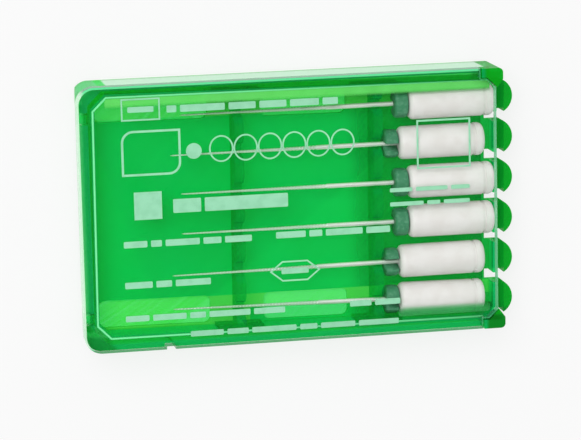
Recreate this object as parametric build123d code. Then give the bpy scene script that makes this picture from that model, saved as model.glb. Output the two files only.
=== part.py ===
from build123d import *
from math import radians, sin, sqrt
import os

# A flat moulded case that holds six endodontic hand files side by side in a loose tray.
# Millimetres. The case lies on its back: +Z is up through the clear cover, +X points to the
# handles and the half-round tabs, and file_1 is the one furthest towards +Y.
# The origin is the bottom centre of the box around the closed case.

# ---- files ----------------------------------------------------------------------------------
file_count = 6
file_pitch = 4.36
handle_length = 9.5
handle_d = 3.6
handle_edge_r = 0.6
handle_ring_from_end = 1.3
handle_ring_width = 0.3
handle_ring_depth = 0.12
blade_length = 25.0
cutting_length = 16.0
cutting_d_at_shaft = 0.47
cutting_d_at_tip = 0.15
point_length = 0.25
shaft_d = 0.5
tang_length = 7.0
tang_clearance = 0.01
stop_d = 3.1
stop_thickness = 1.5
stop_bore_clearance = 0.02
stop_to_handle = 0.08
# How far each file has slid back from the tabs, and how far it is turned about its handle's end.
file_setback = [0.0, 1.1, 0.0, 0.0, 1.1, 1.1]
file_lean_deg = [0.7, 0.65, 0.45, 0.45, 0.8, -0.3]

# ---- tray -----------------------------------------------------------------------------------
tray_wall = 0.4
tray_floor = 0.45
tray_rim_to_cover = 0.2
tray_left_chamfer = 1.5
tray_right_chamfer = 0.75
handle_floor_gap = 0.05
handle_headroom = 0.2
handle_side_gap = 0.2
handle_end_gap = 0.05
tip_room = 9.35
tab_pitch = 4.48
tab_width = 3.4
tab_root = 0.8
tab_bulge = 0.95
tab_top = 3.15
tab_underside = 0.1
tab_notch_depth = 0.45
band_width = 3.0
band_wall_gap = 0.15
band_end_gap = 0.45
band_corner_r = 0.7
# The tray lies a little crooked in the base, with its tabs towards -Y.
tray_skew_deg = -0.55
tray_shift_y = -0.15

# ---- base -----------------------------------------------------------------------------------
base_floor = 0.45
side_wall = 0.6
left_wall = 1.1
tray_side_gap = 0.45
tray_left_gap = 0.25
left_corner_r = 1.7
right_corner_r = 0.5
bottom_edge = 0.3
post_reach = 0.05
floor_setback = 0.2
undercut_depth = 0.35
undercut_top = 3.2
floor_cut_clearance = 0.15
gate_notch_width = 1.0
gate_notch_depth = 0.4
gate_notch_from_left = 8.6

# ---- combs ----------------------------------------------------------------------------------
comb_thickness = 1.0
comb_below_rim = 0.45
neck_comb_to_stop = 0.3
tip_comb_from_tip = 5.75
slot_width_neck = 1.1
slot_width_tip = 1.5
slot_under_shaft = 0.2
slot_flare = 0.7
foot_length = 5.0
foot_depth = 0.2
foot_inset = 0.2
foot_clearance = 0.05

# ---- cover and hinge ------------------------------------------------------------------------
cover_thickness = 1.5
cover_gap = 0.05
cover_overhang = 0.2
cover_edge_r = 0.3
cover_setback = 0.3
cover_notch_length = 1.7
cover_notch_depth = 1.1
cover_corner_cut = 1.0
post_clearance = 0.1
post_below_top = 0.05
post_slope_depth = 0.9
hinge_r = 0.65
arm_r = 0.5
arm_thickness = 1.0
arm_clearance = 0.15
arm_from_side = 3.0
pin_r = 0.3
pin_length = 0.9
pin_clearance = 0.05

# ---- worked out -----------------------------------------------------------------------------
handle_r = handle_d / 2
row_half = (file_count - 1) * file_pitch / 2
tab_row_half = (file_count - 1) * tab_pitch / 2
tray_inner_half = row_half + handle_r + handle_side_gap
tray_half = tray_inner_half + tray_wall
case_half = tray_half + tray_side_gap + side_wall
tray_inner_length = tip_room + blade_length + handle_length + handle_end_gap
tray_length = tray_inner_length + 2 * tray_wall
chamfer_inset = (2 - sqrt(2)) * tray_wall
skew_reach = tab_row_half * sin(radians(abs(tray_skew_deg)))
base_to_tray = left_wall + tray_left_gap
overall_length = cover_overhang + base_to_tray + tray_length + tab_root + tab_bulge + skew_reach
floor_top = base_floor + tray_floor
base_height = floor_top + handle_floor_gap + handle_d + handle_headroom

x_cover_left = -overall_length / 2
x_base_left = x_cover_left + cover_overhang
x_well_left = x_base_left + left_wall
x_tray_left = x_well_left + tray_left_gap
x_inner_left = x_tray_left + tray_wall
x_inner_right = x_inner_left + tray_inner_length
x_tray_right = x_inner_right + tray_wall
x_post = x_tray_right + post_reach
x_plate_end = x_inner_right - cover_setback
x_notch = x_plate_end - cover_notch_length
x_tab_chord = x_tray_right + tab_root
x_tab_tip = x_tab_chord + tab_bulge
tab_r = (tab_width ** 2 / 4 + tab_bulge ** 2) / (2 * tab_bulge)
floor_cut_half = tray_half - tray_right_chamfer + floor_cut_clearance
tongue_half = case_half - cover_notch_depth
post_inner = tongue_half - cover_corner_cut

z_file = floor_top + handle_floor_gap + handle_r
z_cover = base_height + cover_gap
z_cover_top = z_cover + cover_thickness
tray_top = z_cover - tray_rim_to_cover
comb_top = tray_top - comb_below_rim
x_pivot = x_base_left + hinge_r
z_pivot = base_height - hinge_r

x_tip_forward = x_inner_right - handle_end_gap - handle_length - blade_length
x_handle_back = x_inner_right - handle_end_gap - max(file_setback) - handle_length
x_stop_back = x_handle_back - stop_to_handle - stop_thickness
x_neck_comb = x_stop_back - neck_comb_to_stop - comb_thickness / 2
x_tip_comb = x_tip_forward + tip_comb_from_tip + comb_thickness / 2
arm_outer = case_half - arm_from_side
arm_inner = arm_outer - arm_thickness

# Everything that lies in the tray is built square and then put where the tray lies.
tray_place = Pos(0, tray_shift_y, 0) * Rot(0, 0, tray_skew_deg)


def file_y(index):
    """Y of a file's axis in the tray; index 0 is the file furthest towards +Y."""
    return row_half - index * file_pitch


def block(x0, x1, y0, y1, z0, z1):
    """Box between two corners."""
    size = Box(x1 - x0, y1 - y0, z1 - z0)
    return Pos((x0 + x1) / 2, (y0 + y1) / 2, (z0 + z1) / 2) * size


def rod_x(x0, x1, y, z, radius):
    """Cylinder along X between two planes."""
    return Pos((x0 + x1) / 2, y, z) * Rot(0, 90, 0) * Cylinder(radius, x1 - x0)


def rod_y(x, y0, y1, z, radius):
    """Cylinder along Y between two planes."""
    return Pos(x, (y0 + y1) / 2, z) * Rot(90, 0, 0) * Cylinder(radius, y1 - y0)


def slab(x0, x1, half, z0, z1, left_r, right_r):
    """Flat block whose two left and two right upright corners are rounded."""
    outline = Pos((x0 + x1) / 2, 0) * Rectangle(x1 - x0, 2 * half)
    outline = fillet(outline.vertices().group_by(Axis.X)[0], left_r)
    outline = fillet(outline.vertices().group_by(Axis.X)[-1], right_r)
    return Pos(0, 0, z0) * extrude(outline, z1 - z0)


def chamfered_slab(x0, x1, half, z0, z1, left, right):
    """Flat block whose two left and two right upright corners are chamfered."""
    outline = Pos((x0 + x1) / 2, 0) * Rectangle(x1 - x0, 2 * half)
    outline = chamfer(outline.vertices().group_by(Axis.X)[0], left)
    outline = chamfer(outline.vertices().group_by(Axis.X)[-1], right)
    return Pos(0, 0, z0) * extrude(outline, z1 - z0)


def gate_notch(height):
    """Cutter for the small gate notch in the -Y edge."""
    x0 = x_base_left + gate_notch_from_left
    return block(x0, x0 + gate_notch_width, -case_half - 1, -case_half + gate_notch_depth, -1, height)


def floor_bands():
    """Cutters for the long slots in the tray's floor, interrupted by the combs' feet."""
    tip_foot = (x_tip_comb - foot_length / 2, x_tip_comb + foot_length / 2)
    neck_foot = (x_neck_comb - foot_length / 2, x_neck_comb + foot_length / 2)
    spans = [
        (x_inner_left + band_end_gap, tip_foot[0] - band_end_gap),
        (tip_foot[1] + band_end_gap, neck_foot[0] - band_end_gap),
        (neck_foot[1] + band_end_gap, x_inner_right - band_end_gap),
    ]
    y_mid = tray_inner_half - band_wall_gap - band_width / 2
    cutters = []
    for x0, x1 in spans:
        for y in (y_mid, -y_mid):
            outline = Pos((x0 + x1) / 2, y) * RectangleRounded(x1 - x0, band_width, band_corner_r)
            cutters.append(extrude(outline, floor_top + 1))
    return cutters


def foot_pockets():
    """Cutters for the shallow pockets in the tray's side walls that key the combs' feet."""
    cutters = []
    for x in (x_tip_comb, x_neck_comb):
        half = foot_length / 2 + foot_clearance
        reach = tray_inner_half + foot_depth
        cutters.append(block(x - half, x + half, -reach, reach, floor_top, tray_top + 1))
    return cutters


def end_tab(index):
    """Half-round tab behind one handle, on a low root beyond the tray's end wall."""
    y = tab_row_half - index * tab_pitch
    side = tab_width / 2
    root = block(x_tray_right, x_tab_chord, y - side, y + side, base_floor, floor_top)
    disc = Pos(x_tab_tip - tab_r, y, tab_underside) * extrude(Circle(tab_r), tab_top - tab_underside)
    outside = block(x_tab_chord, x_tab_tip + 1, y - side, y + side, 0, tab_top)
    return root + (disc & outside)


def tab_notches():
    """Cutters that carry the gaps between the tabs through the end wall into the floor."""
    half = (tab_pitch - tab_width) / 2
    cutters = []
    for index in range(file_count - 1):
        y = tab_row_half - (index + 0.5) * tab_pitch
        x0 = x_inner_right - tab_notch_depth
        cutters.append(block(x0, x_tray_right + 1, y - half, y + half, 0, tray_top + 1))
    return cutters


def file_tray():
    """Thin-walled tray: floor with long slots, three high walls, a low end wall and tabs."""
    body = chamfered_slab(
        x_tray_left, x_tray_right, tray_half, base_floor, tray_top, tray_left_chamfer, tray_right_chamfer
    )
    body -= chamfered_slab(
        x_inner_left, x_inner_right, tray_inner_half, floor_top, tray_top + 1,
        tray_left_chamfer - chamfer_inset, tray_right_chamfer - chamfer_inset
    )
    # The end wall is only as high as the tabs, so that a thumb reaches the handles.
    body -= block(x_plate_end, x_tray_right + 1, -case_half, case_half, tab_top, tray_top + 1)
    for index in range(file_count):
        body += end_tab(index)
    for cutter in floor_bands() + foot_pockets() + tab_notches():
        body -= cutter
    return body


def cover_plate(reach):
    """Outline of the cover's plate, grown by a reach all round its notched right corners."""
    x1 = x_plate_end + reach
    tongue = Pos((x_cover_left + x1) / 2, 0) * Rectangle(x1 - x_cover_left, 2 * (tongue_half + reach))
    tongue = chamfer(tongue.vertices().group_by(Axis.X)[-1], cover_corner_cut + reach)
    x1 = x_notch + reach
    plate = Pos((x_cover_left + x1) / 2, 0) * Rectangle(x1 - x_cover_left, 2 * (case_half + reach))
    return plate + tongue


def corner_post():
    """Raised corner of the base at +Y that fills the notched corner of the cover."""
    outline = make_face(
        Polyline(
            (x_notch, post_inner),
            (x_plate_end + post_clearance, post_inner),
            (x_post, post_inner + post_slope_depth),
            (x_post, case_half),
            (x_notch, case_half),
            close=True,
        )
    )
    outline = fillet(outline.vertices().group_by(Axis.X)[-1].sort_by(Axis.Y)[-1], right_corner_r)
    height = z_cover_top - post_below_top - base_height
    return Pos(0, 0, base_height) * extrude(outline - cover_plate(post_clearance), height)


def case_base():
    """Green base: floor, left and side walls open towards the tabs, and hinge sockets."""
    body = slab(x_base_left, x_post, case_half, 0, base_height, left_corner_r, right_corner_r)
    body = chamfer(body.faces().sort_by(Axis.Z)[0].edges(), bottom_edge)
    # The left top edge is round about the hinge, so that the cover's edge swings past it.
    corner = block(x_base_left - 1, x_pivot, -case_half, case_half, z_pivot, base_height + 1)
    body -= corner - rod_y(x_pivot, -case_half, case_half, z_pivot, hinge_r)
    well_half = tray_half + tray_side_gap
    body -= chamfered_slab(
        x_well_left, x_post + tray_right_chamfer, well_half, base_floor, base_height + 1,
        tray_left_chamfer, right_corner_r
    )
    # The left end is undercut along its lower part.
    body -= block(x_base_left - 1, x_base_left + undercut_depth, -case_half, case_half, -1, undercut_top)
    # Between its corners the floor stops short of the notches between the tabs.
    x_floor_end = x_inner_right - tab_notch_depth - floor_setback
    body -= block(x_floor_end, x_post + 1, -floor_cut_half, floor_cut_half, -1, base_height + 1)
    post = corner_post()
    body += [post, mirror(post, Plane.XZ)]
    for side in (1, -1):
        y0, y1 = sorted((side * (arm_inner - arm_clearance), side * (arm_outer + arm_clearance)))
        slot_r = arm_r + arm_clearance
        body -= block(x_base_left - 1, x_pivot + slot_r, y0, y1, z_pivot - slot_r, base_height + 1)
        y0, y1 = sorted((side * arm_outer, side * (arm_outer + pin_length + pin_clearance)))
        body -= rod_y(x_pivot, y0, y1, z_pivot, pin_r + pin_clearance)
    return body - gate_notch(base_height + 1)


def case_cover():
    """Clear cover: a plate with two hinge arms, each with a pin."""
    outline = fillet(cover_plate(0).vertices().group_by(Axis.X)[0], left_corner_r + cover_overhang)
    plate = Pos(0, 0, z_cover) * extrude(outline, cover_thickness)
    plate = fillet(plate.faces().sort_by(Axis.Z)[-1].edges(), cover_edge_r)
    plate -= gate_notch(z_cover_top + 1)
    for side in (1, -1):
        y0, y1 = sorted((side * arm_inner, side * arm_outer))
        plate += block(x_pivot - arm_r, x_pivot + arm_r, y0, y1, z_pivot, z_cover)
        plate += rod_y(x_pivot, y0, y1, z_pivot, arm_r)
        y0, y1 = sorted((side * arm_outer, side * (arm_outer + pin_length)))
        plate += rod_y(x_pivot, y0, y1, z_pivot, pin_r)
    return plate


def comb(x_comb, slot_width):
    """Cross comb with a round-bottomed, flared slot for each blade and a foot at each end."""
    x0 = x_comb - comb_thickness / 2
    x1 = x_comb + comb_thickness / 2
    reach = tray_inner_half + foot_depth - foot_clearance
    body = block(x0, x1, -reach, reach, floor_top, comb_top)
    for side in (1, -1):
        y0, y1 = sorted((side * (tray_inner_half - foot_inset), side * reach))
        foot_x0 = x_comb - foot_length / 2
        body += block(foot_x0, foot_x0 + foot_length, y0, y1, floor_top, comb_top)
    slot_r = slot_width / 2
    z_slot = z_file - shaft_d / 2 - slot_under_shaft + slot_r
    for index in range(file_count):
        y = file_y(index)
        body -= rod_x(x0 - 1, x1 + 1, y, z_slot, slot_r)
        body -= block(x0 - 1, x1 + 1, y - slot_r, y + slot_r, z_slot, comb_top + 1)
        mouth = Plane.YZ * make_face(
            Polyline(
                (y - slot_r, comb_top - slot_flare),
                (y + slot_r, comb_top - slot_flare),
                (y + slot_r + slot_flare, comb_top + 0.01),
                (y - slot_r - slot_flare, comb_top + 0.01),
                close=True,
            )
        )
        body -= Pos(x0 - 1, 0, 0) * extrude(mouth, comb_thickness + 2)
    return body


def file_frame(index):
    """Location of a file in the tray: the centre of its handle's face towards the blade."""
    x_end = x_inner_right - handle_end_gap - file_setback[index]
    handle_end = Pos(x_end, file_y(index), z_file) * Rot(0, 0, file_lean_deg[index])
    return handle_end * Pos(-handle_length, 0, 0)


def handle():
    """Moulded handle with round edges, a ring near its end and a bore for the tang."""
    body = rod_x(0, handle_length, 0, 0, handle_r)
    body = fillet(body.edges().filter_by(GeomType.CIRCLE), handle_edge_r)
    ring_x = handle_length - handle_ring_from_end
    ring = rod_x(ring_x, ring_x + handle_ring_width, 0, 0, handle_r + 1)
    ring -= rod_x(ring_x - 1, ring_x + handle_ring_width + 1, 0, 0, handle_r - handle_ring_depth)
    bore = rod_x(-1, tang_length + tang_clearance, 0, 0, shaft_d / 2 + tang_clearance)
    return body - ring - bore


def blade():
    """Steel blade: tang in the handle, plain shaft, tapered cutting part and point."""
    tang = rod_x(0, tang_length, 0, 0, shaft_d / 2)
    shaft_end = blade_length - cutting_length
    cone_end = blade_length - point_length
    profile = Plane.XZ * make_face(
        Polyline(
            (0, 0),
            (0, shaft_d / 2),
            (-shaft_end, shaft_d / 2),
            (-shaft_end, cutting_d_at_shaft / 2),
            (-cone_end, cutting_d_at_tip / 2),
            (-blade_length, 0),
            close=True,
        )
    )
    return tang + revolve(profile, Axis.X)


def stop():
    """Silicone stop, a thick washer that grips the shaft next to the handle."""
    x1 = -stop_to_handle
    x0 = x1 - stop_thickness
    body = rod_x(x0, x1, 0, 0, stop_d / 2)
    return body - rod_x(x0 - 1, x1 + 1, 0, 0, shaft_d / 2 + stop_bore_clearance)


def main():
    """Write one STEP file for each piece."""
    os.makedirs("parts", exist_ok=True)
    pieces = {
        "case_base": case_base(),
        "case_cover": case_cover(),
        "file_tray": tray_place * file_tray(),
        "tip_comb": tray_place * comb(x_tip_comb, slot_width_tip),
        "neck_comb": tray_place * comb(x_neck_comb, slot_width_neck),
    }
    for index in range(file_count):
        place = tray_place * file_frame(index)
        name = f"file_{index + 1}"
        pieces[f"{name}_handle"] = place * handle()
        pieces[f"{name}_blade"] = place * blade()
        pieces[f"{name}_stop"] = place * stop()
    for name, shape in pieces.items():
        export_step(shape, f"parts/{name}.step")
    print(f"hinge pivot at x {x_pivot:.3f}, z {z_pivot:.3f}")
    print(f"neck comb to the stops of the files set back: {neck_comb_to_stop:.2f}")
    print(f"neck comb to the other stops: {neck_comb_to_stop + max(file_setback):.2f}")


main()
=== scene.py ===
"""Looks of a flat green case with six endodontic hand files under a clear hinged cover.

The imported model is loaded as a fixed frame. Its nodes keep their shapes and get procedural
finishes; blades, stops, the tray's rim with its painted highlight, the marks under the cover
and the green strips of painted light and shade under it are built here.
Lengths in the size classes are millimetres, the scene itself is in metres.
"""

from __future__ import annotations

import logging
import math
from dataclasses import dataclass, field
from enum import Enum
from functools import partial
from typing import Any, Callable, Iterable, Optional, Union

import bmesh
import bpy
from mathutils import Matrix, Vector

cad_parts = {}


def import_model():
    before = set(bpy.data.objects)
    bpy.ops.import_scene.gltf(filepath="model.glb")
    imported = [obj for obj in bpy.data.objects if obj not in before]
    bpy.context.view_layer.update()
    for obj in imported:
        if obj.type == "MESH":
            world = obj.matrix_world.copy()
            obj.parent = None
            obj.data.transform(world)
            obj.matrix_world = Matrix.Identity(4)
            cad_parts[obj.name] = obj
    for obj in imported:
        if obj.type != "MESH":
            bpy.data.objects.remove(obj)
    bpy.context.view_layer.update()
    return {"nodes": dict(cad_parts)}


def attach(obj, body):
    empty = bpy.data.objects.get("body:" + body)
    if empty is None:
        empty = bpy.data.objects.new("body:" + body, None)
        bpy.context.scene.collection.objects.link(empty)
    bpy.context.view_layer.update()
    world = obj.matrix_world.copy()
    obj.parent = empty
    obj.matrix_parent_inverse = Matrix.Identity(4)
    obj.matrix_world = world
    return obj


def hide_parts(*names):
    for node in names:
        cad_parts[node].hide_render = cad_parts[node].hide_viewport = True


LOG = logging.getLogger("file_case")
MM = 0.001
# Two places closer than this, in millimetres, are the same.
NEAR = 1e-5
# An edge whose faces turn by more than this, in radians, is sharp.
SHARP_ANGLE = 0.5
ROUND_SEGMENTS = 48
FILE_COUNT = 6

Triple = tuple[float, float, float]
Colour = Triple
Number = Union[int, float]
# Where a soft change starts and where it is complete.
Span = tuple[float, float]


def srgb(red: int, green: int, blue: int) -> Colour:
    """Turn display values into the linear colour that shaders use.

    Args:
        red: Red from 0 to 255.
        green: Green from 0 to 255.
        blue: Blue from 0 to 255.

    Returns:
        The linear colour, each channel from 0 to 1.
    """

    def linear(value: int) -> float:
        """One display value as a linear share."""
        share = value / 255
        return share / 12.92 if share <= 0.04045 else ((share + 0.055) / 1.055) ** 2.4

    return linear(red), linear(green), linear(blue)


# ---- shader graphs --------------------------------------------------------------------------


class Value:
    """A shader output that can be used in plain arithmetic."""

    def __init__(self, graph: Graph, socket: bpy.types.NodeSocket) -> None:
        """Wrap one output of a node in this graph."""
        self.graph = graph
        self.socket = socket

    def _math(self, operation: str, first: Any, second: Any = None) -> Value:
        """Put one Math node behind this value.

        Args:
            operation: Name of the Math node's operation.
            first: First operand.
            second: Second operand, if the operation has one.

        Returns:
            The node's result.
        """
        node = self.graph.node("ShaderNodeMath", {"operation": operation})
        for index, operand in enumerate((first, second)):
            if operand is not None:
                self.graph.feed(node.inputs[index], operand)
        return Value(self.graph, node.outputs[0])

    def __add__(self, other: Union[Value, Number]) -> Value:
        """This value plus another."""
        return self._math("ADD", self, other)

    def __radd__(self, other: Number) -> Value:
        """A number plus this value."""
        return self._math("ADD", other, self)

    def __sub__(self, other: Union[Value, Number]) -> Value:
        """This value less another."""
        return self._math("SUBTRACT", self, other)

    def __rsub__(self, other: Number) -> Value:
        """A number less this value."""
        return self._math("SUBTRACT", other, self)

    def __mul__(self, other: Union[Value, Number]) -> Value:
        """This value times another."""
        return self._math("MULTIPLY", self, other)

    def __rmul__(self, other: Number) -> Value:
        """A number times this value."""
        return self._math("MULTIPLY", other, self)

    def __abs__(self) -> Value:
        """This value without its sign."""
        return self._math("ABSOLUTE", self)

    def at_most(self, other: Union[Value, Number]) -> Value:
        """The smaller of this value and another."""
        return self._math("MINIMUM", self, other)

    def at_least(self, other: Union[Value, Number]) -> Value:
        """The larger of this value and another."""
        return self._math("MAXIMUM", self, other)

    def ramp(self, start: float, end: float) -> Value:
        """Rise smoothly from 0 to 1 as this value goes from start to end.

        Args:
            start: Value where the result is 0.
            end: Value where the result is 1; it may be below start.

        Returns:
            The smooth step.
        """
        node = self.graph.node(
            "ShaderNodeMapRange",
            {"interpolation_type": "SMOOTHSTEP"},
            {"Value": self, "From Min": start, "From Max": end},
        )
        return Value(self.graph, node.outputs[0])


class Graph:
    """Node tree of one material or of the world, built through a few short calls."""

    def __init__(self, tree: bpy.types.NodeTree) -> None:
        """Empty a node tree and take it over."""
        self.tree = tree
        self.tree.nodes.clear()

    @staticmethod
    def _find(sockets: Iterable[bpy.types.NodeSocket], key: Union[str, int]) -> Any:
        """Find a socket by place, identifier or name.

        Args:
            sockets: Inputs or outputs of one node.
            key: Index, identifier or name.

        Returns:
            The socket.
        """
        listed = list(sockets)
        if isinstance(key, int):
            return listed[key]
        for socket in listed:
            if socket.identifier == key:
                return socket
        for socket in listed:
            if socket.name == key and socket.enabled:
                return socket
        raise KeyError(key)

    def feed(self, socket: bpy.types.NodeSocket, value: Any) -> None:
        """Link a value to an input, or set the input's own value.

        Args:
            socket: The input.
            value: A Value, a number, a colour or a vector.
        """
        if isinstance(value, Value):
            self.tree.links.new(value.socket, socket)
        elif isinstance(value, tuple) and socket.type == "RGBA":
            socket.default_value = (*value, 1.0)
        else:
            socket.default_value = value

    def node(
        self,
        kind: str,
        settings: Optional[dict[str, Any]] = None,
        inputs: Optional[dict[Union[str, int], Any]] = None,
    ) -> bpy.types.Node:
        """Add a node: its settings come first, then its inputs.

        Args:
            kind: Blender's node type.
            settings: Properties of the node itself.
            inputs: Values and links for its inputs.

        Returns:
            The node.
        """
        made = self.tree.nodes.new(kind)
        for key, value in (settings or {}).items():
            setattr(made, key, value)
        for name, value in (inputs or {}).items():
            self.feed(self._find(made.inputs, name), value)
        return made

    def value(
        self,
        kind: str,
        settings: Optional[dict[str, Any]] = None,
        inputs: Optional[dict[Union[str, int], Any]] = None,
        output: Union[str, int] = 0,
    ) -> Value:
        """Add a node and return one of its outputs.

        Args:
            kind: Blender's node type.
            settings: Properties of the node itself.
            inputs: Values and links for its inputs.
            output: Which output is returned.

        Returns:
            The output, ready for arithmetic.
        """
        made = self.node(kind, settings, inputs)
        return Value(self, self._find(made.outputs, output))

    def place(self, scale: Triple = (1.0, 1.0, 1.0)) -> Value:
        """Object coordinates in millimetres, stretched if wanted.

        Args:
            scale: Factor for each axis.

        Returns:
            The coordinates.
        """
        return self.value(
            "ShaderNodeMapping",
            {},
            {
                "Vector": self.value("ShaderNodeTexCoord", output="Object"),
                "Scale": tuple(1 / MM * factor for factor in scale),
            },
        )

    def axis(self, name: str) -> Value:
        """The object coordinate named X, Y or Z, in millimetres."""
        return self.value("ShaderNodeSeparateXYZ", {}, {0: self.place()}, name)

    def noise(self, size: float, detail: float = 2.0, scale: Triple = (1.0, 1.0, 1.0)) -> Value:
        """Soft noise around one half.

        Args:
            size: Size of its patches in millimetres.
            detail: Number of finer layers.
            scale: Factor for each axis, to stretch the patches.

        Returns:
            The noise, from 0 to 1.
        """
        return self.value(
            "ShaderNodeTexNoise",
            {},
            {"Vector": self.place(scale), "Scale": 1 / size, "Detail": detail},
        )

    def upward(self) -> Value:
        """How far the surface faces up: 1 on top faces, 0 on upright ones and below."""
        normal = self.value("ShaderNodeNewGeometry", output="Normal")
        return self.value("ShaderNodeSeparateXYZ", {}, {0: normal}, "Z").at_least(0.0)

    def level(self) -> Value:
        """How level the piece itself is there: 1 on flat faces, 0 on sides, however it is turned."""
        normal = self.value("ShaderNodeTexCoord", output="Normal")
        return abs(self.value("ShaderNodeSeparateXYZ", {}, {0: normal}, "Z"))

    def mix(self, share: Any, first: Any, second: Any) -> Value:
        """Blend two colours.

        Args:
            share: 0 for the first colour, 1 for the second.
            first: First colour.
            second: Second colour.

        Returns:
            The blended colour.
        """
        return self.value(
            "ShaderNodeMix",
            {"data_type": "RGBA"},
            {"Factor_Float": share, "A_Color": first, "B_Color": second},
            "Result_Color",
        )

    def bump(self, height: Value, depth: float, strength: float) -> Value:
        """Turn a height into a surface normal.

        Args:
            height: Height from 0 to 1.
            depth: Depth of the relief in millimetres.
            strength: Bump node's strength.

        Returns:
            The normal.
        """
        return self.value(
            "ShaderNodeBump",
            {},
            {"Height": height, "Distance": depth * MM, "Strength": strength},
        )

    def layer(self, share: Any, under: Value, over: Value) -> Value:
        """Blend two shaders.

        Args:
            share: 0 for the lower shader, 1 for the upper one.
            under: The lower shader.
            over: The upper shader.

        Returns:
            The blended shader.
        """
        return self.value("ShaderNodeMixShader", {}, {0: share, 1: under, 2: over})

    def transparent(self, tint: Colour = (1.0, 1.0, 1.0)) -> Value:
        """A shader that only tints what lies behind it."""
        return self.value("ShaderNodeBsdfTransparent", {}, {"Color": tint})

    def principled(self, inputs: dict[Union[str, int], Any]) -> Value:
        """A principled shader with these inputs."""
        return self.value("ShaderNodeBsdfPrincipled", {}, inputs)

    def surface(self, shader: Value) -> None:
        """Send the finished shader to the material's output."""
        self.node("ShaderNodeOutputMaterial", {}, {"Surface": shader})


# ---- finishes -------------------------------------------------------------------------------


class Slot(Enum):
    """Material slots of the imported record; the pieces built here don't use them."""

    GREEN = "green_plastic"
    CLEAR = "clear_plastic"
    STEEL = "steel"
    SILICONE = "silicone"


@dataclass(frozen=True)
class Finish:
    """One surface finish; each subclass draws its own shader."""

    name: str

    def shader(self, graph: Graph) -> Value:
        """Draw the finish.

        Args:
            graph: Graph of the new material.

        Returns:
            The shader for its surface.
        """
        raise NotImplementedError

    def material(self) -> bpy.types.Material:
        """The finish as a Blender material, made once.

        Returns:
            The material.
        """
        known = bpy.data.materials.get(self.name)
        if known is not None:
            return known
        made = bpy.data.materials.new(self.name)
        made.use_nodes = True
        graph = Graph(made.node_tree)
        graph.surface(self.shader(graph))
        LOG.info("finish %s", self.name)
        return made


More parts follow.
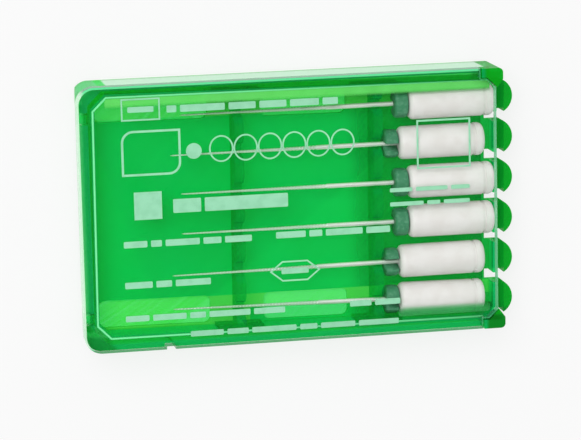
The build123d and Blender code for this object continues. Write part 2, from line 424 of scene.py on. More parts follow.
@dataclass(frozen=True)
class GreenPlastic(Finish):
    """Green moulded plastic that lets some light through.

    Floors, the long strips of painted light beside the files, top faces, bare ends and the outer
    sides each have their shade. The walls turn yellower towards the rear as painted light, the
    floor under the handles turns darker as painted shade, and the outer rear side and left end
    carry a painted reflection of the pale floor. A name that ends in x, y or z holds the span
    along that axis, in millimetres, over which a shade comes in.
    """

    wall: Colour = srgb(1, 206, 116)
    wall_dark: Colour = srgb(1, 192, 106)
    # Painted light: the walls turn yellower, and on the base brighter, towards the rear, where light
    # comes in through the rear wall.
    rear: Colour = srgb(1, 232, 80)
    rear_y: Span = (9.5, 13.5)
    floor: Colour = srgb(1, 219, 112)
    floor_z: Span = (1.6, 1.2)
    # Painted shade: the floor turns darker under the handles.
    shade: Colour = srgb(1, 178, 84)
    shade_x: Span = (5.6, 8.1)
    lit: Colour = srgb(112, 242, 112)
    lit_y: Span = (9.85, 10.0)
    unlit_x: Span = (-5.3, -5.1)
    unlit_y: Span = (-11.35, -11.5)
    top: Colour = srgb(1, 166, 88)
    top_z: Span = (4.4, 4.6)
    top_solid: float = 0.5
    bare: Colour = srgb(1, 160, 22)
    bare_x: Span = (22.2, 22.7)
    bare_solid: float = 0.3
    bare_front: Colour = srgb(1, 116, 22)
    bare_front_y: Span = (-12.6, -13.0)
    bare_corner: Span = (-34.2, -35.2)
    bare_corner_share: float = 0.7
    # Painted reflection of the pale floor on the outer rear side and left end: pale, darker towards
    # the bottom, and less see-through there.
    painted_reflection: Colour = srgb(188, 232, 202)
    painted_reflection_low: Colour = srgb(146, 190, 158)
    painted_reflection_low_z: Span = (0.5, 1.5)
    painted_reflection_share: float = 0.0
    painted_reflection_solid: float = 0.8
    painted_reflection_bottom_z: Span = (0.1, 0.9)
    painted_reflection_top_z: Span = (4.8, 4.7)
    rear_side_y: Span = (14.1, 14.2)
    rear_side_left_x: Span = (-20.9, -20.6)
    rear_side_right_x: Span = (20.6, 20.3)
    left_end_x: Span = (-23.3, -23.4)
    left_end_y: Span = (11.7, 11.4)
    # Painted reflection on the rounded left corners, greyer than on the flat sides.
    painted_corner_reflection: Colour = srgb(88, 170, 130)
    painted_corner_reflection_at: Span = (35.8, 36.1)
    painted_corner_reflection_share: float = 0.65
    painted_corner_reflection_solid: float = 0.4
    tint: Colour = (0.12, 0.92, 0.30)
    see_through: float = 0.6
    roughness: float = 0.25

    def _inside(self, graph: Graph, cloud: Value) -> Value:
        """Colour of walls and floors.

        Args:
            graph: Graph of the new material.
            cloud: Soft noise that the walls' shade follows.

        Returns:
            The colour.
        """
        along = graph.axis("X")
        across = graph.axis("Y")
        wall = graph.mix(cloud.ramp(0.35, 0.65), self.wall_dark, self.wall)
        # Painted light towards the rear.
        wall = graph.mix(across.ramp(*self.rear_y), wall, self.rear)
        unlit = along.ramp(*self.unlit_x) * across.ramp(*self.unlit_y)
        strip = abs(across).ramp(*self.lit_y) * (1 - unlit)
        # Painted shade on the floor under the handles, then the strips of painted light beside the
        # files.
        floor = graph.mix(along.ramp(*self.shade_x), self.floor, self.shade)
        floor = graph.mix(strip, floor, self.lit)
        return graph.mix(graph.axis("Z").ramp(*self.floor_z), wall, floor)

    def _painted_reflection_band(self, graph: Graph, upright: Value) -> Value:
        """Where the painted reflection of the pale floor lies on the outer sides, along the rear
        side and the left end.

        Args:
            graph: Graph of the new material.
            upright: How far the surface doesn't face up.

        Returns:
            The painted reflection's share.
        """
        along = graph.axis("X")
        across = graph.axis("Y")
        height = graph.axis("Z")
        side = along.ramp(*self.rear_side_left_x) * along.ramp(*self.rear_side_right_x)
        side = side * across.ramp(*self.rear_side_y)
        end = along.ramp(*self.left_end_x) * abs(across).ramp(*self.left_end_y)
        band = height.ramp(*self.painted_reflection_bottom_z) * height.ramp(*self.painted_reflection_top_z) * upright
        return band * side.at_least(end) * self.painted_reflection_share

    def shader(self, graph: Graph) -> Value:
        """Draw the plastic.

        Args:
            graph: Graph of the new material.

        Returns:
            The shader.
        """
        along = graph.axis("X")
        across = graph.axis("Y")
        height = graph.axis("Z")
        up = graph.upward()
        cloud = graph.noise(size=5.0, detail=3.0)
        crown = height.ramp(*self.top_z) * up
        corner = (along + across).ramp(*self.bare_corner)
        bare = along.ramp(*self.bare_x).at_least(self.bare_corner_share * corner)
        # Painted reflections on the outer sides: greyer on the rounded left corners, pale on the
        # rear side and the left end.
        painted_corner_reflection = (abs(across) - along).ramp(*self.painted_corner_reflection_at) * (1 - up) * self.painted_reflection_share
        painted_reflection = self._painted_reflection_band(graph, 1 - up)
        body = graph.mix(crown, self._inside(graph, cloud), self.top)
        end = graph.mix(across.ramp(*self.bare_front_y), self.bare, self.bare_front)
        body = graph.mix(bare, body, end)
        body = graph.mix(self.painted_corner_reflection_share * painted_corner_reflection, body, self.painted_corner_reflection)
        pale = graph.mix(height.ramp(*self.painted_reflection_low_z), self.painted_reflection_low, self.painted_reflection)
        solid = graph.principled({
            "Base Color": graph.mix(painted_reflection, body, pale),
            "Roughness": self.roughness + 0.1 * graph.noise(size=1.5),
            "IOR": 1.5,
            "Specular IOR Level": 0.15,
            "Coat Weight": painted_reflection * 0.5 + 0.03,
            "Coat Roughness": 0.05,
            "Coat IOR": 1.6,
            "Normal": graph.bump(graph.noise(size=0.12, detail=4.0), depth=0.004, strength=0.35),
        })
        thin = (1 - self.painted_reflection_solid * painted_reflection) * (1 - self.bare_solid * bare)
        thin = thin * (1 - self.top_solid * crown) * (1 - self.painted_corner_reflection_solid * painted_corner_reflection)
        share = 1 - self.see_through * (0.9 + 0.2 * cloud) * thin
        return graph.layer(share, graph.transparent(self.tint), solid)


@dataclass(frozen=True)
class ClearPlastic(Finish):
    """Clear cover: see-through on top, with painted reflections along its edges.

    The edge colours are painted reflections of the light and of the green body: the left edge
    is nearly white, the rear and front ones are green and the right one is mint. The mint on
    the rounded edge is a painted highlight. Fades are distances in from an edge, and a name that
    ends in x or z holds a span along that axis, all in millimetres. The last three spans are of
    the surface's level.
    """

    face: Colour = srgb(150, 240, 180)
    # The edge colours from rear to right are painted reflections of the light and of the green body,
    # and the colour of the rounded edge is a painted highlight.
    rear: Colour = srgb(52, 150, 102)
    left: Colour = srgb(205, 240, 212)
    front: Colour = srgb(8, 168, 86)
    right: Colour = srgb(130, 215, 165)
    rounding_highlight: Colour = srgb(100, 228, 156)
    haze: float = 0.004
    edge_share: float = 0.85
    low_share: float = 0.15
    rounding_share: float = 0.8
    plain_share: float = 0.7
    half: float = 14.35
    x_left: float = -24.0538
    x_right: float = 21.4962
    left_fade: Span = (0.9, 0.3)
    right_fade: Span = (0.3, 0.1)
    front_fade: Span = (0.6, 0.2)
    plain_x: Span = (19.3, 19.7)
    plate_z: Span = (4.6, 4.75)
    rim_z: Span = (5.9, 6.05)
    upright: Span = (0.35, 0.15)
    rounded: Span = (0.98, 0.9)
    flat: Span = (0.9, 0.99)

    def shader(self, graph: Graph) -> Value:
        """Draw the plastic.

        Args:
            graph: Graph of the new material.

        Returns:
            The shader.
        """
        along = graph.axis("X")
        height = graph.axis("Z")
        level = graph.level()
        left = (along - self.x_left).ramp(*self.left_fade)
        right = (self.x_right - along).ramp(*self.right_fade)
        front = (graph.axis("Y") + self.half).ramp(*self.front_fade)
        upright = level.ramp(*self.upright)
        rounded = level.ramp(*self.rounded) * (1 - upright) * height.ramp(*self.rim_z)
        # Painted reflections along the edges and a painted highlight on the rounded edge.
        edge = graph.mix(front, self.rear, self.front)
        edge = graph.mix(right, edge, self.right)
        edge = graph.mix(left, edge, self.left)
        rounding_highlight = graph.mix(front, self.rounding_highlight, self.front)
        rounding_highlight = graph.mix(left, rounding_highlight, self.left)
        tone = graph.mix(rounded, edge, rounding_highlight)
        tone = graph.mix(level.ramp(*self.flat), tone, self.face)
        body = graph.principled({
            "Base Color": tone,
            "Roughness": 0.06 + 0.05 * graph.noise(size=0.8),
            "IOR": 1.49,
            "Specular IOR Level": 0.2,
            "Normal": graph.bump(graph.noise(size=9.0, detail=1.0), depth=0.02, strength=0.2),
        })
        streaks = graph.noise(size=6.0, scale=(1.0, 0.2, 1.0))
        plate = self.low_share + (1 - self.low_share) * height.ramp(*self.plate_z)
        plain = self.plain_share * along.ramp(*self.plain_x).at_least(front)
        share = self.haze * (0.5 + streaks) + self.edge_share * upright * plate
        share = share + self.rounding_share * rounded * (1 - plain)
        return graph.layer(share.at_most(1.0), graph.transparent(), body)


@dataclass(frozen=True)
class PaintedLightShadeTint(Finish):
    """Thin green sheet of painted light and shade: tints what lies behind it and fades out towards
    the cover's middle.
    """

    body: Colour = srgb(112, 236, 112)
    pale: Colour = srgb(124, 242, 126)
    tint: Colour = (0.19, 0.9, 0.24)
    share: float = 0.6
    fade_y: Span = (11.8, 12.3)

    def shader(self, graph: Graph) -> Value:
        """Draw the lip.

        Args:
            graph: Graph of the new material.

        Returns:
            The shader.
        """
        cloud = graph.noise(size=2.0)
        solid = graph.principled({
            "Base Color": graph.mix(cloud, self.body, self.pale),
            "Roughness": 0.3 + 0.1 * cloud,
            "IOR": 1.49,
        })
        green = graph.layer(self.share * (0.9 + 0.2 * cloud), graph.transparent(self.tint), solid)
        strength = abs(graph.axis("Y")).ramp(*self.fade_y)
        return graph.layer(strength, graph.transparent(), green)


@dataclass(frozen=True)
class HandlePlastic(Finish):
    """Off-white satin plastic with soft cloudy patches and fine moulding grain."""

    light: Colour = srgb(224, 222, 219)
    dull: Colour = srgb(218, 215, 211)

    def shader(self, graph: Graph) -> Value:
        """Draw the plastic.

        Args:
            graph: Graph of the new material.

        Returns:
            The shader.
        """
        patches = graph.noise(size=1.6, detail=3.0).ramp(0.35, 0.65)
        fine = graph.noise(size=0.18, detail=4.0)
        return graph.principled({
            "Base Color": graph.mix(patches, self.light, self.dull),
            "Roughness": 0.42 + 0.12 * fine,
            "IOR": 1.5,
            "Normal": graph.bump(fine, depth=0.006, strength=0.5),
        })


@dataclass(frozen=True)
class GroundSteel(Finish):
    """Ground stainless steel with fine lengthwise scratches; on the cutting part a darker green
    stands for the painted reflection of the green tray and the painted shade in the twisted flutes.
    """

    bright: Colour = (0.98, 1.0, 0.95)
    dull: Colour = (0.86, 0.92, 0.84)
    # Painted reflection of the green tray and painted shade of the flutes, on the cutting part.
    painted_reflection_and_shade: Colour = (0.46, 0.70, 0.52)
    painted_reflection_and_shade_x: Span = (4.75, 0.25)
    painted_reflection_and_shade_share: float = 0.65

    def shader(self, graph: Graph) -> Value:
        """Draw the steel.

        Args:
            graph: Graph of the new material.

        Returns:
            The shader.
        """
        scratches = graph.noise(size=0.05, detail=3.0, scale=(0.04, 1.0, 1.0))
        body = graph.mix(scratches, self.dull, self.bright)
        # Painted reflection and shade on the cutting part.
        cut = self.painted_reflection_and_shade_share * graph.axis("X").ramp(*self.painted_reflection_and_shade_x)
        return graph.principled({
            "Base Color": graph.mix(cut, body, self.painted_reflection_and_shade),
            "Metallic": 0.5 + 0.2 * scratches,
            "Roughness": 0.4 + 0.15 * scratches,
            "Normal": graph.bump(scratches, depth=0.003, strength=0.4),
        })


@dataclass(frozen=True)
class Silicone(Finish):
    """Grey-green translucent silicone with dusty patches."""

    body: Colour = srgb(70, 150, 108)
    dusty: Colour = srgb(128, 190, 156)
    dust_share: float = 0.4
    tint: Colour = (0.25, 0.62, 0.38)
    see_through: float = 0.3

    def shader(self, graph: Graph) -> Value:
        """Draw the silicone.

        Args:
            graph: Graph of the new material.

        Returns:
            The shader.
        """
        dust = self.dust_share * graph.noise(size=0.35, detail=4.0).ramp(0.45, 0.75)
        solid = graph.principled({
            "Base Color": graph.mix(dust, self.body, self.dusty),
            "Roughness": 0.35 + 0.25 * graph.noise(size=0.5),
            "IOR": 1.42,
            "Normal": graph.bump(graph.noise(size=0.1, detail=3.0), depth=0.006, strength=0.4),
        })
        share = 1 - self.see_through * (1 - 0.5 * dust)
        return graph.layer(share, graph.transparent(self.tint), solid)


@dataclass(frozen=True)
class Ink(Finish):
    """Pale screen-printed ink, thinner in places."""

    thick: Colour = srgb(148, 214, 176)
    thin: Colour = srgb(138, 206, 166)

    def shader(self, graph: Graph) -> Value:
        """Draw the ink.

        Args:
            graph: Graph of the new material.

        Returns:
            The shader.
        """
        cover = graph.noise(size=1.2).ramp(0.3, 0.6)
        return graph.principled({
            "Base Color": graph.mix(cover, self.thin, self.thick),
            "Roughness": 0.5 + 0.2 * graph.noise(size=0.2),
            "Normal": graph.bump(cover, depth=0.004, strength=0.3),
        })


BASE_GREEN = GreenPlastic(
    "base_green",
    floor=srgb(40, 226, 90),
    floor_z=(1.0, 0.6),
    lit=srgb(100, 240, 84),
    top_z=(4.5, 4.7),
    bare_x=(20.0, 20.5),
    # Only the base carries the painted reflection on its outer sides.
    painted_reflection_share=1.0,
)
TRAY_GREEN = GreenPlastic(
    "tray_green",
    wall=srgb(6, 230, 148),
    wall_dark=srgb(4, 218, 136),
    rear=srgb(1, 226, 84),
)
COMB_GREEN = GreenPlastic(
    "comb_green",
    wall=srgb(3, 206, 124),
    wall_dark=srgb(2, 196, 114),
    rear=srgb(3, 200, 118),
    floor=srgb(4, 190, 96),
    shade=srgb(4, 176, 86),
    lit=srgb(4, 190, 96),
    top=srgb(4, 190, 96),
    top_z=(3.9, 4.1),
    top_solid=0.0,
    tint=(0.4, 0.96, 0.62),
    see_through=0.82,
)
# Pale mint all over as a painted highlight along the tray's wall tops, brightest on the bead's top
# face.
RIM_HIGHLIGHT = GreenPlastic(
    "rim_painted_highlight",
    wall=srgb(90, 225, 140),
    wall_dark=srgb(80, 215, 130),
    rear=srgb(80, 215, 120),
    top=srgb(130, 245, 172),
    top_z=(4.45, 4.65),
    bare=srgb(100, 230, 150),
    see_through=0.1,
    roughness=0.12,
)
COVER_CLEAR = ClearPlastic("cover_clear")
# Painted green light on the rear file's handle, as if lit through the rear wall.
REAR_PAINTED_LIGHT = PaintedLightShadeTint("rear_painted_light")
# Painted green shade on the lower side of the front file's handle.
FRONT_PAINTED_SHADE = PaintedLightShadeTint(
    "front_painted_shade",
    body=srgb(70, 186, 110),
    pale=srgb(84, 196, 122),
    tint=(0.3, 0.85, 0.45),
    share=0.35,
    fade_y=(11.55, 12.65),
)
HANDLE_WHITE = HandlePlastic("handle_white")
BLADE_STEEL = GroundSteel("blade_steel")
STOP_SILICONE = Silicone("stop_silicone")
PRINT_INK = Ink("print_ink")


# ---- mesh building --------------------------------------------------------------------------


class Shape:
    """A mesh under construction, in millimetres."""

    def __init__(self) -> None:
        """Start with nothing."""
        self.mesh = bmesh.new()

    def add(self, make: Callable[[bmesh.types.BMesh], None], place: Matrix) -> None:
        """Build one element apart and join it to the shape.

        Args:
            make: Fills an empty mesh with the element.
            place: Where the element goes.
        """
        part = bmesh.new()
        make(part)
        bmesh.ops.transform(part, matrix=place, verts=part.verts)
        kept = bpy.data.meshes.new("part")
        part.to_mesh(kept)
        part.free()
        self.mesh.from_mesh(kept)
        bpy.data.meshes.remove(kept)

    def piece(self, name: str, finish: Finish, smooth: bool) -> bpy.types.Object:
        """Turn the shape into a scene object in metres.

        Args:
            name: Name of the piece.
            finish: Its surface finish.
            smooth: Whether its faces are shaded smooth.

        Returns:
            The object.
        """
        bmesh.ops.scale(self.mesh, vec=(MM, MM, MM), verts=self.mesh.verts)
        bmesh.ops.recalc_face_normals(self.mesh, faces=self.mesh.faces)
        for face in self.mesh.faces:
            face.smooth = smooth
        data = bpy.data.meshes.new(name)
        self.mesh.to_mesh(data)
        self.mesh.free()
        data.materials.append(finish.material())
        made = bpy.data.objects.new(name, data)
        bpy.context.scene.collection.objects.link(made)
        LOG.info("piece %s: %d faces", name, len(data.polygons))
        return made


def move(x: float, y: float, z: float) -> Matrix:
    """A shift in millimetres."""
    return Matrix.Translation((x, y, z))


def turn(degrees: float, axis: str) -> Matrix:
    """A turn about the axis named X, Y or Z."""
    return Matrix.Rotation(math.radians(degrees), 4, axis)


def hollow(mesh: bmesh.types.BMesh, width: float) -> None:
    """Keep only a band along the outline of a flat mesh.

    Args:
        mesh: The flat mesh.
        width: Width of the band.
    """
    inset = bmesh.ops.inset_region(
        mesh, faces=mesh.faces[:], thickness=width, use_boundary=True, use_even_offset=True,
    )
    band = set(inset["faces"])
    inner = [face for face in mesh.faces if face not in band]
    bmesh.ops.delete(mesh, geom=inner, context="FACES")


def round_off(mesh: bmesh.types.BMesh, geom: list[Any], offset: float, segments: int) -> None:
    """Bevel corners of a flat mesh, or edges of any mesh.

    Args:
        mesh: The mesh.
        geom: The corners, as vertices, or the edges.
        offset: Size of the bevel.
        segments: Number of its steps, with 1 for a chamfer.
    """
    affect = "VERTICES" if isinstance(geom[0], bmesh.types.BMVert) else "EDGES"
    bmesh.ops.bevel(
        mesh, geom=geom, offset=offset, segments=segments, profile=0.5, affect=affect,
        material=-1,
    )


def wear(node: bpy.types.Object, finish: Finish) -> None:
    """Give a CAD node its finish.

    Args:
        node: The CAD node's object.
        finish: The finish.
    """
    node.data.materials.clear()
    node.data.materials.append(finish.material())
    LOG.info("node %s wears %s", node.name, finish.name)


# ---- case -----------------------------------------------------------------------------------


@dataclass(frozen=True)
class TraySizes:
    """Sizes of the loose tray, in its own frame.

    bead_rear and bead_front shift the bead's left and right corners along Y.
    """

    skew_deg: float = -0.55
    shift_y: float = -0.15
    x_left: float = -22.5038
    x_right: float = 22.1962
    half: float = 13.3
    wall: float = 0.4
    chamfer: float = 1.5
    wall_top: float = 4.6
    bead_width: float = 0.22
    bead_height: float = 0.1
    bead_drop: float = 0.04
    bead_edge: float = 0.066
    bead_rear: tuple[float, float] = (-0.15, 0.08)
    bead_front: tuple[float, float] = (-0.08, 0.18)

    def frame(self) -> Matrix:
        """The matrix from the tray's frame to the object's."""
        return move(0, self.shift_y, 0) @ turn(self.skew_deg, "Z")


class Tray:
    """The thin-walled insert with its combs and the bead along its walls, bright with a painted
    highlight.
    """

    def __init__(self, sizes: TraySizes, nodes: dict[str, bpy.types.Object]) -> None:
        """Remember the tray's sizes and the CAD nodes by name."""
        self.sizes = sizes
        self.nodes = nodes

    def _bead(self, mesh: bmesh.types.BMesh) -> None:
        """A rounded bead along the tops of the three high walls.

        Args:
            mesh: Empty mesh to fill.
        """
        size = self.sizes
        margin = (size.wall - size.bead_width) / 2
        length = size.x_right - size.x_left - 2 * margin
        bmesh.ops.create_grid(mesh, x_segments=1, y_segments=1, size=0.5)
        bmesh.ops.scale(mesh, vec=(length, 2 * (size.half - margin), 1), verts=mesh.verts)
        for vert in mesh.verts:
            shifts = size.bead_rear if vert.co.y > 0 else size.bead_front
            shift = shifts[1] if vert.co.x > 0 else shifts[0]
            bmesh.ops.translate(mesh, vec=(0, shift, 0), verts=[vert])
        round_off(mesh, mesh.verts[:], size.chamfer, 1)
        hollow(mesh, size.bead_width)
        raised = bmesh.ops.extrude_face_region(mesh, geom=mesh.faces[:])
        top = [item for item in raised["geom"] if isinstance(item, bmesh.types.BMVert)]
        level = size.bead_height + size.bead_drop
        bmesh.ops.translate(mesh, vec=(0, 0, level), verts=top)
        edges = [
            edge for edge in mesh.edges
            if all(abs(vert.co.z - level) < NEAR for vert in edge.verts)
            and len(edge.link_faces) == 2
            and edge.calc_face_angle() > SHARP_ANGLE
        ]
        round_off(mesh, edges, size.bead_edge, 3)
        cut = length / 2 - size.chamfer - size.wall
        bmesh.ops.bisect_plane(
            mesh, geom=mesh.verts[:] + mesh.edges[:] + mesh.faces[:],
            plane_co=(cut, 0, 0), plane_no=(1, 0, 0), clear_outer=True,
        )
        bmesh.ops.holes_fill(mesh, edges=[edge for edge in mesh.edges if edge.is_boundary])

    def build(self) -> None:
        """Make the bead and hang it on the case."""
        size = self.sizes
        shape = Shape()
        middle = (size.x_left + size.x_right) / 2
        place = size.frame() @ move(middle, 0, size.wall_top - size.bead_drop)
        shape.add(self._bead, place)
        bead = shape.piece("tray_rim_highlight_bead", RIM_HIGHLIGHT, True)
        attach(bead, "case")

    def dress(self) -> None:
        """Give the tray and its combs their finishes."""
        wear(self.nodes["file_tray"], TRAY_GREEN)
        wear(self.nodes["tip_comb"], COMB_GREEN)
        wear(self.nodes["neck_comb"], COMB_GREEN)


class MarkStyle(Enum):
    """Kinds of printed mark."""

    FRAME = "frame"
    HEXAGON = "hexagon"
    RINGS = "rings"
    SOLID = "solid"
    DISC = "disc"
    WORDS = "words"


@dataclass(frozen=True)
class Mark:
    """One mark under the cover: its centre and box in millimetres, and how it is filled."""

    style: MarkStyle
    x: float
    y: float
    width: float
    height: float
    line: float = 0.17
    words: tuple[float, ...] = (1.0,)
    rounded: float = 0.0


@dataclass(frozen=True)
class PaintedLightStrip:
    """One thin green strip of painted light and shade under the cover: its name, where it runs and
    its finish.
    """

    name: str
    x: tuple[float, float]
    y: tuple[float, float]
    finish: Finish


@dataclass(frozen=True)
class PrintSizes:
    """Sizes of the printed layer, its marks and the green strips of painted light and shade along
    the long edges.
    """

    z: float = 4.776
    thickness: float = 0.012
    word_gap: float = 0.4
    corner: float = 0.12
    painted_light_z: float = 4.7
    painted_light_thickness: float = 0.06
    painted_light_corner: float = 0.3
    # Strips of painted light and shade, laid over the outer files' handles.
    painted_light_strips: tuple[PaintedLightStrip, ...] = (
        PaintedLightStrip("cover_rear_painted_light", (-20.9, 21.1), (11.7, 12.86), REAR_PAINTED_LIGHT),
        PaintedLightStrip("cover_front_painted_shade", (10.6, 20.9), (-12.7, -11.5), FRONT_PAINTED_SHADE),
    )
    marks: tuple[Mark, ...] = (
        Mark(MarkStyle.FRAME, -17.1, 11.6, 4.2, 2.4),
        Mark(MarkStyle.WORDS, -17.1, 11.6, 2.8, 0.6),
        Mark(MarkStyle.WORDS, -5.0, 11.5, 18.6, 0.75, words=(1.0, 4.6, 2.8, 2.8, 3.0, 1.6)),
        Mark(MarkStyle.FRAME, -16.1, 6.9, 6.4, 4.9, 0.24, rounded=1.3),
        Mark(MarkStyle.DISC, -11.5, 6.85, 1.7, 1.7),
        Mark(MarkStyle.RINGS, -1.9, 6.95, 15.9, 2.9, 0.17, (1.0,) * 6),
        Mark(MarkStyle.SOLID, -16.6, 1.2, 3.0, 3.0),
        Mark(MarkStyle.WORDS, -7.65, 1.0, 12.5, 1.5, words=(2.4, 7.2)),
        Mark(MarkStyle.WORDS, -12.4, -2.95, 13.9, 0.7, words=(2.6, 1.2, 3.8, 2.0, 3.0)),
        Mark(MarkStyle.WORDS, 3.5, -2.85, 12.6, 0.7, words=(3.2, 1.4, 4.0, 2.6)),
        Mark(MarkStyle.WORDS, -14.7, -7.4, 9.3, 0.7, words=(2.8, 1.6, 3.6)),
        Mark(MarkStyle.HEXAGON, -0.8, -6.85, 5.6, 2.6),
        Mark(MarkStyle.WORDS, -0.8, -6.85, 3.0, 0.6),
        Mark(MarkStyle.WORDS, -10.7, -11.05, 17.4, 0.65, words=(2.4, 3.4, 1.6, 4.2, 3.2)),
        Mark(MarkStyle.WORDS, -0.9, -13.1, 23.0, 0.6, words=(3.4, 2.2, 4.6, 1.8, 3.6, 4.2)),
        Mark(MarkStyle.FRAME, 15.9, 6.2, 6.0, 5.4, 0.2),
        Mark(MarkStyle.WORDS, 14.3, 1.35, 8.9, 0.45, words=(2.4, 3.4, 2.0)),
        Mark(MarkStyle.WORDS, 14.3, -0.2, 8.9, 0.45, words=(3.6, 1.4, 2.8)),
        Mark(MarkStyle.WORDS, 8.0, -10.9, 5.6, 0.65, words=(2.2, 2.6)),
    )


class Cover:
    """The clear cover, the plain marks printed on its underside and its green strips of painted
    light and shade.
    """

    def __init__(self, sizes: PrintSizes, nodes: dict[str, bpy.types.Object]) -> None:
        """Remember the cover's sizes and the CAD nodes by name."""
        self.sizes = sizes
        self.nodes = nodes

    def _tile(self, mark: Mark, width: float, mesh: bmesh.types.BMesh) -> None:
        """One cell of a mark, around the origin.

        Args:
            mark: The mark.
            width: Width of the cell.
            mesh: Empty mesh to fill.
        """
        segments = {
            MarkStyle.DISC: ROUND_SEGMENTS,
            MarkStyle.RINGS: ROUND_SEGMENTS,
            MarkStyle.HEXAGON: 6,
        }
        if mark.style in segments:
            bmesh.ops.create_circle(
                mesh, cap_ends=True, segments=segments[mark.style], radius=0.5,
                matrix=turn(90, "Z"),
            )
        else:
            bmesh.ops.create_grid(mesh, x_segments=1, y_segments=1, size=0.5)
        bmesh.ops.scale(mesh, vec=(width, mark.height, 1), verts=mesh.verts)
        if mark.rounded:
            opposite = [vert for vert in mesh.verts if vert.co.x * vert.co.y < 0]
            round_off(mesh, opposite, mark.rounded, 8)
        if mark.style is MarkStyle.WORDS:
            round_off(mesh, mesh.verts[:], self.sizes.corner, 4)
        if mark.style in (MarkStyle.FRAME, MarkStyle.HEXAGON, MarkStyle.RINGS):
            hollow(mesh, mark.line)
        bmesh.ops.solidify(mesh, geom=mesh.faces[:], thickness=self.sizes.thickness)

    def _print(self, shape: Shape, mark: Mark) -> None:
        """Add one mark, cell by cell.

        Args:
            shape: The printed layer under construction.
            mark: The mark.
        """
        gap = self.sizes.word_gap if mark.style is MarkStyle.WORDS else 0.0
        unit = (mark.width - gap * (len(mark.words) - 1)) / sum(mark.words)
        x = mark.x - mark.width / 2
        for share in mark.words:
            width = share * unit
            place = move(x + width / 2, mark.y, self.sizes.z)
            shape.add(partial(self._tile, mark, width), place)
            x += width + gap

    def _painted_light_strip(self, light_strip: PaintedLightStrip, mesh: bmesh.types.BMesh) -> None:
        """One thin strip of painted light and shade, around the origin.

        Args:
            light_strip: The strip of painted light and shade.
            mesh: Empty mesh to fill.
        """
        size = self.sizes
        length = light_strip.x[1] - light_strip.x[0]
        width = light_strip.y[1] - light_strip.y[0]
        bmesh.ops.create_cube(mesh, size=1.0)
        bmesh.ops.scale(mesh, vec=(length, width, size.painted_light_thickness), verts=mesh.verts)
        upright = [
            edge for edge in mesh.edges
            if abs(edge.verts[0].co.z - edge.verts[1].co.z) > size.painted_light_thickness / 2
        ]
        round_off(mesh, upright, size.painted_light_corner, 3)

    def build(self) -> None:
        """Make the printed layer and the strips of painted light and shade, and hang them on the
        cover.
        """
        size = self.sizes
        shape = Shape()
        for mark in size.marks:
            self._print(shape, mark)
        printed = shape.piece("cover_print", PRINT_INK, False)
        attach(printed, "cover")
        for light_strip in size.painted_light_strips:
            shape = Shape()
            shape.add(partial(self._painted_light_strip, light_strip), move(sum(light_strip.x) / 2, sum(light_strip.y) / 2, size.painted_light_z))
            strip = shape.piece(light_strip.name, light_strip.finish, False)
            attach(strip, "cover")

    def dress(self) -> None:
        """Give the cover its finish."""
        wear(self.nodes["case_cover"], COVER_CLEAR)


# ---- files ----------------------------------------------------------------------------------


@dataclass(frozen=True)
class FileSizes:
    """Sizes of one hand file, in its own frame, and the places of the six in the tray.

    A file's origin is the centre of the handle's face towards the blade, and +X runs into the
    handle. stop_slot and stop_steps give the outer ring first, then the bore.
    """

    pitch: float = 4.36
    z: float = 2.75
    x_end: float = 21.7462
    handle_length: float = 9.5
    blade_length: float = 25.0
    cutting_length: float = 16.0
    cutting_d: float = 0.47
    tip_d: float = 0.15
    point_length: float = 0.3
    turns: float = 11.0
    steps: int = 176
    shaft_d: float = 0.5
    shaft_edge: float = 0.03
    stop_d: float = 3.1
    stop_thickness: float = 1.5
    stop_gap: float = 0.08
    stop_bore: float = 0.54
    stop_edge: float = 0.32
    stop_slot: tuple[float, float] = (1.3, 0.53)
    stop_steps: tuple[int, int] = (ROUND_SEGMENTS, 16)
    stop_turn_deg: tuple[float, ...] = (170.0, 18.0, 190.0, 180.0, 4.0, 12.0)
    setback: tuple[float, ...] = (0.0, 1.1, 0.0, 0.0, 1.1, 1.1)
    lean_deg: tuple[float, ...] = (0.7, 0.65, 0.45, 0.45, 0.8, -0.3)


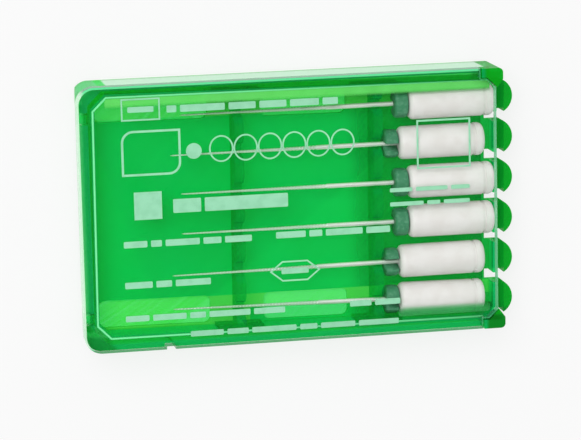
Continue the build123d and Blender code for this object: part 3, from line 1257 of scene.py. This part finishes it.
@dataclass
class HandFile:
    """One of the six files."""

    index: int
    sizes: FileSizes
    tray: TraySizes
    nodes: dict[str, bpy.types.Object]
    name: str = field(init=False)

    def __post_init__(self) -> None:
        """Work out the file's name."""
        self.name = f"file_{self.index + 1}"

    def frame(self) -> Matrix:
        """Place of the file.

        Returns:
            The matrix from the file's frame to the object's.
        """
        size = self.sizes
        y = ((FILE_COUNT - 1) / 2 - self.index) * size.pitch
        end = move(size.x_end - size.setback[self.index], y, size.z)
        lean = turn(size.lean_deg[self.index], "Z")
        return self.tray.frame() @ end @ lean @ move(-size.handle_length, 0, 0)

    def _shaft(self, mesh: bmesh.types.BMesh) -> None:
        """The plain round shaft next to the handle.

        Args:
            mesh: Empty mesh to fill.
        """
        size = self.sizes
        length = size.blade_length - size.cutting_length
        bmesh.ops.create_cone(
            mesh, cap_ends=True, cap_tris=False, segments=24,
            radius1=size.shaft_d / 2, radius2=size.shaft_d / 2, depth=length,
            matrix=move(-length / 2, 0, 0) @ turn(90, "Y"),
        )
        ends = [edge for edge in mesh.edges if edge.calc_face_angle() > SHARP_ANGLE]
        round_off(mesh, ends, size.shaft_edge, 2)

    def _cutting_part(self, mesh: bmesh.types.BMesh) -> None:
        """The twisted square taper that cuts, down to its point.

        Args:
            mesh: Empty mesh to fill.
        """
        size = self.sizes
        start = -(size.blade_length - size.cutting_length)
        length = size.cutting_length - size.point_length
        step = length / size.steps
        bmesh.ops.create_circle(
            mesh, cap_ends=True, segments=4, radius=size.cutting_d / 2,
            matrix=move(start, 0, 0) @ turn(90, "Y"),
        )
        loop = mesh.edges[:]
        radius = size.cutting_d / 2
        for index in range(size.steps):
            wanted = (size.cutting_d + (size.tip_d - size.cutting_d) * (index + 1) / size.steps) / 2
            grown = bmesh.ops.extrude_edge_only(mesh, edges=loop)["geom"]
            verts = [item for item in grown if isinstance(item, bmesh.types.BMVert)]
            loop = [item for item in grown if isinstance(item, bmesh.types.BMEdge)]
            bmesh.ops.translate(mesh, vec=(-step, 0, 0), verts=verts)
            here = move(-(start - step * (index + 1)), 0, 0)
            ratio = wanted / radius
            bmesh.ops.scale(mesh, vec=(1, ratio, ratio), space=here, verts=verts)
            twist = turn(360 * size.turns / size.steps, "X").to_3x3()
            bmesh.ops.rotate(mesh, cent=(0, 0, 0), matrix=twist, verts=verts)
            radius = wanted
        grown = bmesh.ops.extrude_edge_only(mesh, edges=loop)["geom"]
        verts = [item for item in grown if isinstance(item, bmesh.types.BMVert)]
        bmesh.ops.pointmerge(mesh, verts=verts, merge_co=(-size.blade_length, 0, 0))

    def _stop(self, mesh: bmesh.types.BMesh) -> None:
        """The silicone stop: a thick ring with rounded edges and a slot to push it on by.

        Args:
            mesh: Empty mesh to fill.
        """
        size = self.sizes
        outline = []
        radii = (size.stop_d / 2, size.stop_bore / 2)
        for radius, slot, steps, way in zip(radii, size.stop_slot, size.stop_steps, (1, -1)):
            start = math.asin(slot / 2 / radius)
            for step in range(steps + 1)[::way]:
                angle = start + (2 * math.pi - 2 * start) * step / steps
                outline.append((0.0, radius * math.sin(angle), radius * math.cos(angle)))
        cap = mesh.faces.new([mesh.verts.new(point) for point in outline])
        grown = bmesh.ops.extrude_face_region(mesh, geom=[cap])
        far = [item for item in grown["geom"] if isinstance(item, bmesh.types.BMVert)]
        bmesh.ops.translate(mesh, vec=(size.stop_thickness, 0, 0), verts=far)
        bmesh.ops.translate(
            mesh, vec=(-size.stop_gap - size.stop_thickness, 0, 0), verts=mesh.verts
        )
        bmesh.ops.recalc_face_normals(mesh, faces=mesh.faces)
        rim = [
            edge for edge in mesh.edges
            if all(vert.co.yz.length > size.stop_d / 2 - NEAR for vert in edge.verts)
            and abs(edge.verts[0].co.x - edge.verts[1].co.x) < NEAR
        ]
        round_off(mesh, rim, size.stop_edge, 5)

    def build(self) -> None:
        """Make the blade and the stop in place of their plain CAD solids."""
        place = self.frame()
        shape = Shape()
        shape.add(self._shaft, place)
        shape.add(self._cutting_part, place)
        blade = shape.piece(f"{self.name}_twisted_blade", BLADE_STEEL, False)
        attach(blade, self.name)
        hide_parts(f"{self.name}_blade")
        shape = Shape()
        shape.add(self._stop, place @ turn(self.sizes.stop_turn_deg[self.index], "X"))
        stop = shape.piece(f"{self.name}_round_stop", STOP_SILICONE, True)
        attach(stop, f"stop_{self.index + 1}")
        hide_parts(f"{self.name}_stop")

    def dress(self) -> None:
        """Give the handle its finish."""
        wear(self.nodes[f"{self.name}_handle"], HANDLE_WHITE)


# ---- studio ---------------------------------------------------------------------------------


@dataclass(frozen=True)
class StudioSizes:
    """Camera, lamp, floor and surroundings; glow is the floor's share of plain brightness."""

    camera_at: Triple = (-60.61, 58.94, 315.74)
    camera_right: Triple = (0.98115, -0.02276, 0.19192)
    camera_up: Triple = (0.05781, 0.98214, -0.17907)
    camera_back: Triple = (-0.18441, 0.18679, 0.96494)
    lens: float = 185.30396
    sensor: float = 36.0
    clip_near: float = 10.0
    clip_far: float = 20000.0
    floor_size: float = 3000.0
    backdrop: float = 0.94
    glow: float = 0.15
    glow_seen: float = 0.85
    lamp_at: Triple = (-260.0, 300.0, 620.0)
    lamp_size: float = 520.0
    lamp_watts: float = 3.2
    world_light: float = 0.72
    dark: float = 0.06
    dark_rise: Span = (0.75, 0.25)


class Studio:
    """Plain pale floor, soft light and the camera."""

    def __init__(self, sizes: StudioSizes) -> None:
        """Remember the studio's sizes."""
        self.sizes = sizes

    def _camera(self) -> None:
        """Make the camera and select it."""
        size = self.sizes
        data = bpy.data.cameras.new("camera")
        data.sensor_width = size.sensor
        data.lens = size.lens
        data.clip_start = size.clip_near * MM
        data.clip_end = size.clip_far * MM
        camera = bpy.data.objects.new("camera", data)
        rows = zip(size.camera_right, size.camera_up, size.camera_back)
        turned = Matrix([list(row) for row in rows]).to_4x4()
        at = Vector(size.camera_at) * MM
        camera.matrix_world = Matrix.Translation(at) @ turned
        bpy.context.scene.collection.objects.link(camera)
        bpy.context.scene.camera = camera

    def _floor(self) -> None:
        """Make the floor: as bright as the backdrop, with a faint shadow."""
        size = self.sizes
        mesh = bmesh.new()
        bmesh.ops.create_grid(mesh, x_segments=1, y_segments=1, size=size.floor_size * MM / 2)
        data = bpy.data.meshes.new("floor")
        mesh.to_mesh(data)
        mesh.free()
        made = bpy.data.materials.new("floor_paper")
        made.use_nodes = True
        graph = Graph(made.node_tree)
        grey = (size.backdrop,) * 3
        glow = graph.value("ShaderNodeEmission", {}, {"Color": grey, "Strength": 1.0})
        paper = graph.value("ShaderNodeBsdfDiffuse", {}, {"Color": grey})
        paths = graph.node("ShaderNodeLightPath")
        seen = Value(graph, paths.outputs["Is Camera Ray"]).at_least(
            Value(graph, paths.outputs["Is Glossy Ray"])
        )
        share = size.glow + (size.glow_seen - size.glow) * seen
        graph.surface(graph.layer(share, paper, glow))
        data.materials.append(made)
        floor = bpy.data.objects.new("floor", data)
        bpy.context.scene.collection.objects.link(floor)

    def _lamp(self) -> None:
        """Make the large soft lamp, up and to the left."""
        size = self.sizes
        data = bpy.data.lights.new("soft_lamp", "AREA")
        data.shape = "DISK"
        data.size = size.lamp_size * MM
        data.energy = size.lamp_watts
        lamp = bpy.data.objects.new("soft_lamp", data)
        at = Vector(size.lamp_at) * MM
        lamp.matrix_world = Matrix.Translation(at) @ at.to_track_quat("Z", "Y").to_matrix().to_4x4()
        bpy.context.scene.collection.objects.link(lamp)

    def _world(self) -> None:
        """Make the surroundings: backdrop for the eye, soft light for the rest."""
        size = self.sizes
        world = bpy.data.worlds.new("studio")
        world.use_nodes = True
        bpy.context.scene.world = world
        graph = Graph(world.node_tree)
        grey = (size.backdrop,) * 3
        paths = graph.node("ShaderNodeLightPath")
        seen = Value(graph, paths.outputs["Is Camera Ray"])
        glossy = Value(graph, paths.outputs["Is Glossy Ray"])
        towards = graph.value("ShaderNodeTexCoord", output="Generated")
        rise = graph.value("ShaderNodeSeparateXYZ", {}, {0: towards}, "Z")
        mirrored = rise.ramp(*size.dark_rise) * (1 - size.dark) + size.dark
        strength = mirrored * glossy + size.world_light * (1 - glossy)
        light = graph.value("ShaderNodeBackground", {}, {"Color": grey, "Strength": strength})
        backdrop = graph.value("ShaderNodeBackground", {}, {"Color": grey, "Strength": 1.0})
        mixed = graph.layer(seen, light, backdrop)
        graph.node("ShaderNodeOutputWorld", {}, {"Surface": mixed})

    def build(self) -> None:
        """Make the whole studio."""
        self._camera()
        self._floor()
        self._lamp()
        self._world()
        scene = bpy.context.scene
        scene.view_settings.view_transform = "Standard"
        scene.view_settings.look = "None"
        LOG.info("studio ready")


# ---- scene ----------------------------------------------------------------------------------


def main() -> None:
    """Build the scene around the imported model."""
    logging.basicConfig(level=logging.INFO, format="%(message)s")
    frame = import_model()
    nodes = frame["nodes"]
    tray_sizes = TraySizes()
    Studio(StudioSizes()).build()
    wear(nodes["case_base"], BASE_GREEN)
    assemblies: list[Union[Tray, Cover, HandFile]] = [
        Tray(tray_sizes, nodes),
        Cover(PrintSizes(), nodes),
    ]
    assemblies += [HandFile(i, FileSizes(), tray_sizes, nodes) for i in range(FILE_COUNT)]
    for assembly in assemblies:
        assembly.build()
        assembly.dress()


if __name__ == "__main__":
    main()
